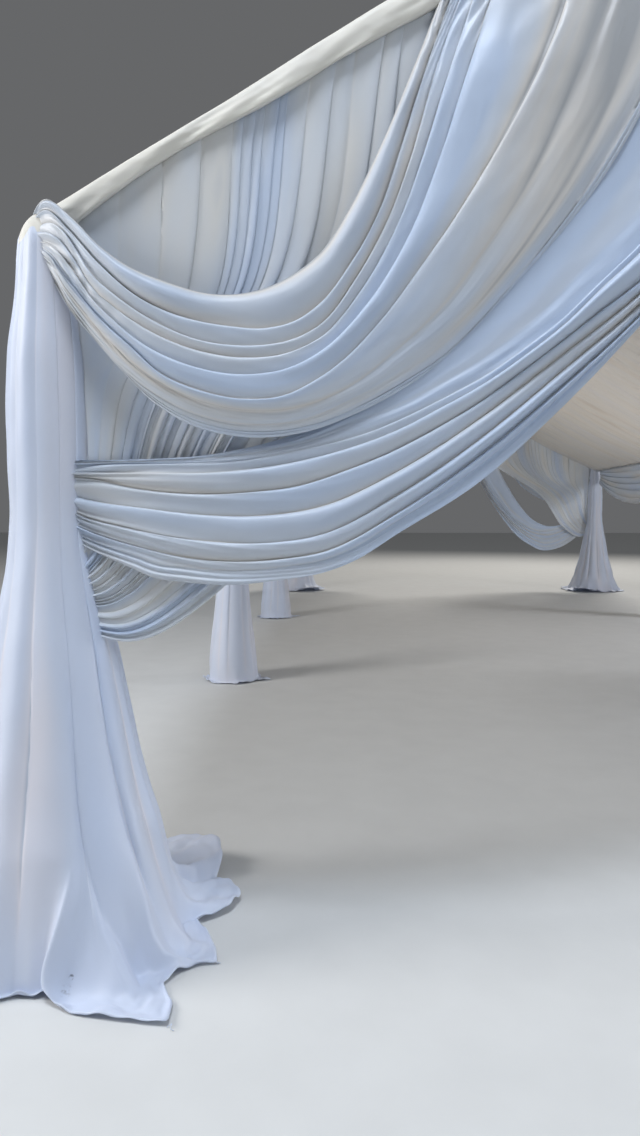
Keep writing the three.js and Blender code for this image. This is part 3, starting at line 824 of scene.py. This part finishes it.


# The cloth above the knee, its lowest row as it would be without folds, and its painted light and shade. The
# radius comes from the profile, and the folds stand out from it, square to its slope.
def legFolds(look, rows, column, kneeAngle, seed):
    vary = legFoldLook
    profile = evenLine(list(zip(look["radii"], look["heights"])), rows)
    radius = np.repeat(profile[:, :1], len(column), 1)
    height = np.repeat(profile[:, 1:], len(column), 1)
    settle = smoothRamp(-height, -look["wrap"], -look["heights"][-1])
    angle = kneeAngle * settle + (2 * np.pi * column - np.pi) * (1 - settle)
    sideways = np.sin(angle)
    # which fold each point is on, and where
    starts = np.radians([fold[0] for fold in look["folds"]] + [look["folds"][0][0] + 360])
    change, *spans = vary["drift"]
    high, low = vary["driftHeights"]
    drift = change * waves(sideways, height, seed + 5, *spans) * smoothRamp(-height, -high, -low)
    place = (angle + drift + np.pi) % (2 * np.pi) - np.pi
    fold = np.clip(np.searchsorted(starts, place, side="right") - 1, 0, len(look["folds"]) - 1)
    gap = starts[fold + 1] - starts[fold]
    fraction = (place - starts[fold]) / gap
    _, wrapHeight, lowHeight, lean = np.moveaxis(np.array(look["folds"])[fold], -1, 0)
    across, out = foldSection(fraction, lean)
    grown = smoothRamp(-height, -look["wrap"], -vary["fullHeight"])
    change, *spans = vary["height"]
    change = 1 + change * waves(sideways, height, seed + 2, *spans)
    tall = (wrapHeight + (lowHeight - wrapHeight) * grown) * change
    change, *spans = vary["ripple"]
    push = tall * (out - vary["middle"]) + change * waves(sideways, height, seed + 4, *spans)
    slope = np.gradient(profile[:, 0], profile[:, 1])[:, None]
    steep = np.hypot(1, slope)
    turned = angle + (across - fraction) * gap
    upper = fromPolar(np.stack([turned, radius + push / steep, height - push * slope / steep], -1))
    plain = np.stack([angle[-1], radius[-1], height[-1]], -1)
    # painted light and shade: a base, cooler on the ridges and painted shade in the creases, whole on deep
    # folds
    paintedShading = vary["warmth"] - vary["ridge"] * out + vary["crease"] * np.exp(-out / vary["creaseWidth"])
    return upper, plain, np.clip(tall / vary["deep"], 0, 1) * paintedShading


# The pooled cloth from the knee to the hem. Each column runs between two lines: at first by angle and radius,
# so that it starts round, and then straight across, so that its creases follow the lines and there are flat
# facets between.
def pooledCloth(tracks, edges, column, q):
    number = np.searchsorted(edges, column, side="right") - 1
    share = ((column - edges[number]) / (edges[number + 1] - edges[number]))[None, :, None]
    down = np.stack([cubicThrough(poolLook["places"], track, q) for track in tracks], 1)

    # The lines' values, mixed by how far a column is from one line to the next
    def between(values):
        return values[:, number] * (1 - share) + values[:, number + 1] * share

    flat = smoothRamp(q, 0.0, poolLook["straight"])[:, None, None]
    return fromPolar(between(down)) * (1 - flat) + between(fromPolar(down)) * flat


# Cloth round a leg: the folded part, the pooled part under it with the folds fading out, then crumples,
# lifted stretches of hem and a mean of neighbours round the leg
def legGrid(look, detail, seed, mirror):
    pool = poolLook
    upperRows, lowerRows = [int(count * detail) for count in look["rows"]]
    tracks = legTracks(look)
    # columns are shared out by the cloth's width from line to line, at the knee and the hem together
    hem = fromPolar(tracks[:, 3])[:, :2]
    widths = np.hypot(*np.diff(hem, axis=0).T) + look["radii"][-1] * np.diff(tracks[:, 0, 0])
    edges = np.r_[0, np.cumsum(widths)] / widths.sum()
    column = np.linspace(0, 1, int(look["columns"] * detail), endpoint=False)
    kneeAngle = np.interp(column, edges, tracks[:, 0, 0])
    upper, plain, paintedShading = legFolds(look, upperRows, column, kneeAngle, seed)
    q = np.linspace(0, 1, lowerRows + 1)
    fade = (1 - smoothRamp(q, 0, pool["fade"]))[:, None, None]
    lower = pooledCloth(tracks, edges, column, q) + (upper[-1] - fromPolar(plain))[None] * fade
    grid = np.concatenate([upper, lower[1:]])
    x, y, height = grid[..., 0], grid[..., 1], grid[..., 2]
    span, count = pool["crumple"]
    rough = look["crumple"] * np.abs(waves(x, y, seed + 3, span, span, count))
    share, span, count = pool["fineCrumple"]
    rough = rough + share * look["crumple"] * waves(x, y, seed + 6, span, span, count)
    high, low = pool["low"]
    rise = np.maximum(height, pool["rim"]) + rough * smoothRamp(-height, -high, -low)
    outward = np.concatenate([np.zeros(upperRows), q[1:]])[:, None]
    lift, span, most = pool["lift"]
    angle = plain[None, :, 0]
    lifted = np.clip(waves(np.sin(angle), np.cos(angle), seed + 7, span, span), 0, most)
    rise = rise + lift * lifted * outward ** 4
    rise[-len(pool["hem"]):] += np.array(pool["hem"])[:, None]
    grid = np.stack([x, y, rise], -1)
    grid = 0.5 * grid + 0.25 * (np.roll(grid, 1, 1) + np.roll(grid, -1, 1))
    # the painted light and shade fades out over the pool with the folds
    paintedShading = np.concatenate([paintedShading, paintedShading[-1] * fade[1:, :, 0]])
    return np.stack([grid[..., 0] * mirror[0], grid[..., 1] * mirror[1], grid[..., 2], paintedShading], -1)


# The eight drapes, each mirrored so that its pool spreads the same way from its own corner
def addLegs(seed):
    for side, xSign in sides:
        for number in range(1, lineCount + 1):
            look = cornerLeg if number in (1, lineCount) else middleLeg
            ySign = -1 if number <= lineCount / 2 else 1
            mirror = (-xSign, -ySign)
            detail = rearDetail if number == lineCount else 1.0
            nearest = number == 1 and side == "left"
            own = seed if nearest else seed + number + 7 * (xSign > 0)
            grid = legGrid(look, detail, own, mirror)
            grid = grid + np.array([xSign * postX, -postY + (number - 1) * bayLength, 0, 0])
            name = f"leg_drape_{side}_{number}"
            addCloth(name, grid, mirror[0] * mirror[1] > 0, [name],
                     material=legCloth, wrap=True)


addLegs(500)


# Loose threads at two corners of the front left drape's hem
threadLook = {
    "radius": 0.0011, "wall": 0.0003,
    "starts": ((0.520, -0.559), (0.612, -0.213)),   # from the post
    "lengths": (0.055, 0.045), "headings": (-20, -35),
    "height": 0.004, "arch": 0.010,
    "bend": 1.5, "bends": 7, "wander": (0.8, 0.3, 1),
    "steps": 26, "round": 6,
}


# Each is a thin tube round a line on the floor, whose heading is a sine and some random waves
def addThreads(seed):
    look = threadLook
    spin = np.linspace(0, 2 * np.pi, look["round"], endpoint=False)[None, :]
    t = np.linspace(0, 1, look["steps"])
    threads = zip(look["starts"], look["lengths"], look["headings"])
    for number, (start, length, heading) in enumerate(threads, 1):
        change, *spans = look["wander"]
        turn = math.radians(heading) + look["bend"] * np.sin(look["bends"] * t + number)
        turn = turn + change * waves(t, 0 * t, seed + number, *spans)
        x = -postX + start[0] + np.cumsum(np.cos(turn)) * length / look["steps"]
        y = -postY + start[1] + np.cumsum(np.sin(turn)) * length / look["steps"]
        z = look["height"] + look["arch"] * np.sin(np.pi * t) ** 2
        turn = turn[:, None]
        ring = [-np.sin(turn) * np.cos(spin), np.cos(turn) * np.cos(spin), np.sin(spin) + 0 * turn]
        points = np.stack([x, y, z], -1)[:, None, :] + look["radius"] * np.stack(ring, -1)
        piece = gridPiece(f"loose_thread_{number}", points, legCloth, False, True, look["wall"])


addThreads(560)
print("leg drapes made")


# Side swags, one along each bay: (along the bay from its front leg, height)
sideLook = {
    "clearance": 0.15, "top": 2.432,
    "drops": (0.0, 0.045, 0.09, 0.135, 0.18, 0.22, 0.255),       # below the top, at the legs
    "sags": (0.030, 0.085, 0.150, 0.225, 0.300, 0.380, 0.445),   # more than that at the middle
    "fullness": 0.85,
    "folds": ((0.010, 0.016, 0.010, 0.6, 0.3, 0.6), (0.012, 0.026, 0.012, 0.8, 0.7, 0.8),
              (0.012, 0.024, 0.012, 0.8, 0.6, 0.8), (0.012, 0.028, 0.012, 0.8, 0.7, 0.8),
              (0.012, 0.024, 0.012, 0.7, 0.5, 0.7), (0.010, 0.018, 0.010, 0.6, 0.3, 0.6)),
    "out": ((0, 0.030), (0.06, 0.034), (0.5, 0.040), (0.94, 0.034), (1, 0.030)),
    "columns": 112, "perFold": 9,
}


# Each fold line hangs from leg to leg as a parabola, flattened at its middle by a power under 1
def sideGrid(seed):
    look = sideLook
    t = np.linspace(0, 1, look["columns"])
    along = np.linspace(look["clearance"], bayLength - look["clearance"], look["columns"])
    sag = (4 * t * (1 - t)) ** look["fullness"]
    heights = [look["top"] - drop - more * sag for drop, more in zip(look["drops"], look["sags"])]
    grid = np.stack([np.stack([along, height], -1) for height in heights])
    return foldedCloth(grid, look["folds"], outBy(look["out"]), look["perFold"], seed,
                       gather=(0.006, 0.006, 0.06), bulge=0.012)


# One swag a bay along each side
def addSides(seed):
    for side, xSign in sides:
        for number in range(1, lineCount):
            seed += 1
            flat = sideGrid(seed)
            frontY = -postY + (number - 1) * bayLength
            points = np.stack([xSign * (postX + flat[..., 2]), frontY + flat[..., 0], flat[..., 1]], -1)
            name = f"side_swag_{side}_{number}"
            addCloth(name, points, xSign < 0, [name])


addSides(600)
print("side swags made")


# Ceiling liner
linerLook = {
    "edge": 0.030, "ridge": 0.030, "end": 0.03,  # how far it stops short of the posts, middle and ends
    "low": 2.425, "high": 4.186,
    "sag": 0.135, "lift": 0.05, "liftPower": 8, "sagChange": (0.012, 3.0, 2.0),
    "widths": (0.26, 0.16, 0.21, 0.09, 0.11, 0.24, 0.19, 0.13, 0.10, 0.22, 0.17),
    "heights": (0.030, 0.022, 0.026, 0.018, 0.020, 0.030, 0.026, 0.018, 0.018, 0.028, 0.022),
    "leans": (0.2, -0.5, 0.3, 0.8, -0.6, 0.1, 0.5, -0.7, 0.6, 0.2, -0.4),
    "eaveShare": 0.7, "ridgeShare": 0.55, "middleLean": 0.7,  # of a fold's height and lean
    "down": 0.8, "outward": 0.4,                              # how far a fold's depth goes each way
    "columns": 42, "perFold": 7,
}


# Gathered cloth from eave to ridge: its folds run up the slope, and it hangs under a straight line in a
# parabola, less deep near each rafter, where a cosine to a high power lifts it
def linerGrid(xSign, seed):
    look = linerLook
    length = 2 * postY - 2 * look["end"]
    rounds = int(length / sum(look["widths"])) + 1
    edges = np.r_[0, np.cumsum(look["widths"] * rounds)]
    count = int(np.searchsorted(edges, length))
    edges = edges[:count + 1] * length / edges[count]
    folds = []
    for i in range(count):
        height, lean = look["heights"][i % len(look["heights"])], look["leans"][i % len(look["leans"])]
        folds.append((height * look["eaveShare"], height, height * look["ridgeShare"],
                      lean, lean * look["middleLean"], lean))
    t = np.linspace(0, 1, look["columns"])
    grid = np.stack([np.stack([np.full(len(t), edge), t], -1) for edge in edges])
    flat = foldedCloth(grid, folds, lambda s: 0 * s, look["perFold"], seed,
                       gather=(0.006, 0.008, 0.05), bulge=0)
    y, t, depth = flat[..., 0] - length / 2, flat[..., 1], flat[..., 2]
    bow = 4 * t * (1 - t)
    nearRafter = np.abs(np.cos(np.pi * (y + postY) / bayLength)) ** look["liftPower"]
    change, *spans = look["sagChange"]
    sag = (look["sag"] - look["lift"] * nearRafter + change * waves(y, t, seed + 9, *spans)) * bow
    inward = look["edge"] + (postX - look["edge"] - look["ridge"]) * t
    height = look["low"] + (look["high"] - look["low"]) * t - sag - depth * look["down"]
    return np.stack([xSign * (postX - inward - depth * look["outward"] * bow), y, height], -1)


# One liner under each slope
def addLiner(seed):
    for side, xSign in sides:
        seed += 5
        addCloth(f"ceiling_liner_{side}", linerGrid(xSign, seed), xSign > 0,
                 [f"ceiling_liner_{side}"], linerCloth)


addLiner(700)
print("liner made")


# Roof: taut cloth over the rafters, with welded seams and a folded hem along the eave
roofLook = {
    "overhang": 0.075, "end": 0.05, "under": 0.003,  # past the posts and gables, and below the frame's top
    "sag": 0.012, "sagFullness": 0.6,                # between rafters
    "rafterRise": 0.003, "rafterWidth": 0.03,
    "seamEvery": 1.52, "seamWidth": 0.045, "seamHeight": 0.0022,
    "hemWidth": 0.05, "hemHeight": 0.003, "step": 0.003,
    "ripple": (0.0012, 0.30, 1.5), "rippleReach": 0.12,
    "columns": 200, "rows": 60,
}


# Height over the roof's plane: a shallow dip in each bay, a rise over each rafter, steps at the welded seams
# and the hem, and slight ripples that die away from the eave
def roofGrid(xSign, seed):
    look = roofLook
    half, edge, step = postY + look["end"], look["seamWidth"] / 2, look["step"]
    count = int(half / look["seamEvery"])
    seams = np.arange(-count, count + 1) * look["seamEvery"]
    marks = [seams + place for place in (-edge, -edge + step, edge, edge + step)]
    y = np.unique(np.round(np.concatenate([np.linspace(-half, half, look["columns"]), *marks]), 4))
    seam = np.abs(y[:, None] - seams).min(1) <= edge
    hemEdge = look["hemWidth"] - look["overhang"]
    inward = np.r_[np.linspace(-look["overhang"], postX, look["rows"]), hemEdge, hemEdge + step]
    inward = np.unique(np.round(inward, 4))[:, None]
    t = (inward + look["overhang"]) / (postX + look["overhang"])
    acrossBay = np.sin(np.pi * (y + postY) / bayLength)
    dip = look["sag"] * acrossBay ** 2 * np.sin(np.pi * np.clip(t, 0, 1)) ** look["sagFullness"]
    rise = look["rafterRise"] * np.exp(-(acrossBay / look["rafterWidth"]) ** 2)
    height, *spans = look["ripple"]
    ripple = height * waves(y, t, seed, *spans) * np.exp(-t / look["rippleReach"])
    hem = look["hemHeight"] * (inward < hemEdge + step / 2)
    over = look["seamHeight"] * seam + hem + rise - dip + ripple - look["under"]
    x = xSign * (postX - inward) + 0 * over
    return np.stack([x, y + 0 * over, roofTopAtPost + roofSlope * inward + over], -1)


ridgeLook = {
    "flap": 0.10, "lift": 0.0035,                # how far it laps down each slope, and lies over the roof
    "bend": 0.008, "ripple": (0.0008, 0.6, 0.2),
    "columns": 90, "rows": 17,
}


# A strip over the ridge: down both slopes from it, as a root of across squared and the bend squared
def ridgeGrid(seed):
    look = ridgeLook
    across = np.linspace(-look["flap"], look["flap"], look["rows"])[:, None]
    y = np.linspace(-postY - roofLook["end"], postY + roofLook["end"], look["columns"])[None, :]
    height, *spans = look["ripple"]
    z = roofTopAtPost + roofSlope * postX + look["lift"]
    z = z - roofSlope * np.sqrt(across ** 2 + look["bend"] ** 2) + height * waves(y, across, seed, *spans)
    return np.stack([across + 0 * y, y + 0 * across, z], -1)


# Both slopes, and the strip over the ridge
def addRoof(seed):
    for side, xSign in sides:
        addCloth(f"roof_{side}", roofGrid(xSign, seed), xSign < 0,
                 [f"roof_{side}"], roofCloth)
    addCloth("roof_ridge_strip", ridgeGrid(seed + 3), False, (),
             roofCloth)


addRoof(800)
print("roof made")


# Floor, light and camera

floorLook = {
    "half": 60,
    "tones": [(0.3, (0.66, 0.665, 0.655)), (0.7, (0.69, 0.695, 0.685))],
    "grain": {"Scale": 4.0, "Detail": 6.0},
    "roughness": 0.85,
}


# A flat pale floor
def addStage():
    half = floorLook["half"]
    corners = [(-half, -half, 0), (half, -half, 0), (half, half, 0), (-half, half, 0)]
    mesh = bpy.data.meshes.new("floor")
    mesh.from_pydata(corners, [], [(0, 1, 2, 3)])
    floor = bpy.data.objects.new("floor", mesh)
    bpy.context.scene.collection.objects.link(floor)
    finish = Finish("pale floor")
    place = finish.node("TexCoord", output=3)
    grain = finish.node("TexNoise", Vector=place, **floorLook["grain"])
    tone = finish.node("ValToRGB", {"stops": floorLook["tones"]}, Fac=grain)
    surface = finish.node("BsdfPrincipled", Base_Color=tone, Roughness=floorLook["roughness"])
    mesh.materials.append(finish.done(surface))


# Turns a thing from its place to its target, by yaw and pitch
def aim(thing, place, target):
    ahead = np.array(target, float) - place
    yaw = math.atan2(-ahead[0], ahead[1])
    pitch = math.atan2(ahead[2], math.hypot(ahead[0], ahead[1]))
    thing.location = place
    thing.rotation_euler = (math.pi / 2 + pitch, 0, yaw)


# A round soft lamp that the camera doesn't see
def addArea(name, place, target, size, power, colour):
    data = bpy.data.lights.new(name, "AREA")
    data.shape = "DISK"
    data.size = size
    data.energy = power
    data.color = colour
    lamp = bpy.data.objects.new(name, data)
    bpy.context.scene.collection.objects.link(lamp)
    lamp.visible_camera = False
    aim(lamp, place, target)


worldLook = {"colour": (0.95, 0.97, 1.0), "strength": 0.14}
# place, what it points at, size across, power, colour
lightLook = {
    "above": ((-3.0, -10.8, 12.2), (-1.8, -6.6, 1.6), 3.6, 800, (0.83, 0.90, 1.0)),
    "side": ((-12.0, -8.4, 5.8), (-3.0, -6.9, 1.6), 5.0, 800, (1.0, 0.98, 0.96)),
    "fill": ((5.0, -11.5, 7.5), (-3.0, -6.9, 1.0), 6.0, 210, (0.84, 0.91, 1.0)),
    "right": ((9.0, -1.5, 3.0), (-2.8, -5.5, 0.6), 4.0, 600, (0.92, 0.94, 1.0)),
    "back": ((5.0, 16.0, 12.0), (0.0, 2.0, 2.0), 8.0, 1500, (1.0, 0.96, 0.90)),
    "inside": ((0.3, 1.5, 0.7), (0.3, 1.5, 4.0), 5.0, 45, (1.0, 0.92, 0.84)),
}


# A dim even sky and the lamps
def addLight():
    world = bpy.data.worlds.new("studio")
    world.use_nodes = True
    bpy.context.scene.world = world
    background = world.node_tree.nodes["Background"]
    background.inputs["Color"].default_value = (*worldLook["colour"], 1)
    background.inputs["Strength"].default_value = worldLook["strength"]
    for name, settings in lightLook.items():
        addArea(name, *settings)


cameraLook = {
    "fromPost": (1.048, -2.848, 1.53),   # from the front left post, and up from the floor
    "yaw": 1.83, "pitch": -3.77,         # degrees to the left, and up
    "focal": 805, "frameHeight": 1136,   # pixels of the photograph
    "sensor": 36, "reach": 200,
}


# The photograph's camera: its lens is the sensor's height times the focal length over the frame's height
def addCamera():
    look = cameraLook
    data = bpy.data.cameras.new("camera")
    data.sensor_fit = "VERTICAL"
    data.sensor_height = look["sensor"]
    data.lens = look["sensor"] * look["focal"] / look["frameHeight"]
    data.clip_end = look["reach"]
    camera = bpy.data.objects.new("camera", data)
    bpy.context.scene.collection.objects.link(camera)
    x, y, z = look["fromPost"]
    camera.location = (x - postX, y - postY, z)
    camera.rotation_euler = (math.pi / 2 + math.radians(look["pitch"]), 0, math.radians(look["yaw"]))
    bpy.context.scene.camera = camera


addStage()
addLight()
addCamera()
bpy.context.scene.view_settings.view_transform = "Standard"
print("stage, light and camera made")
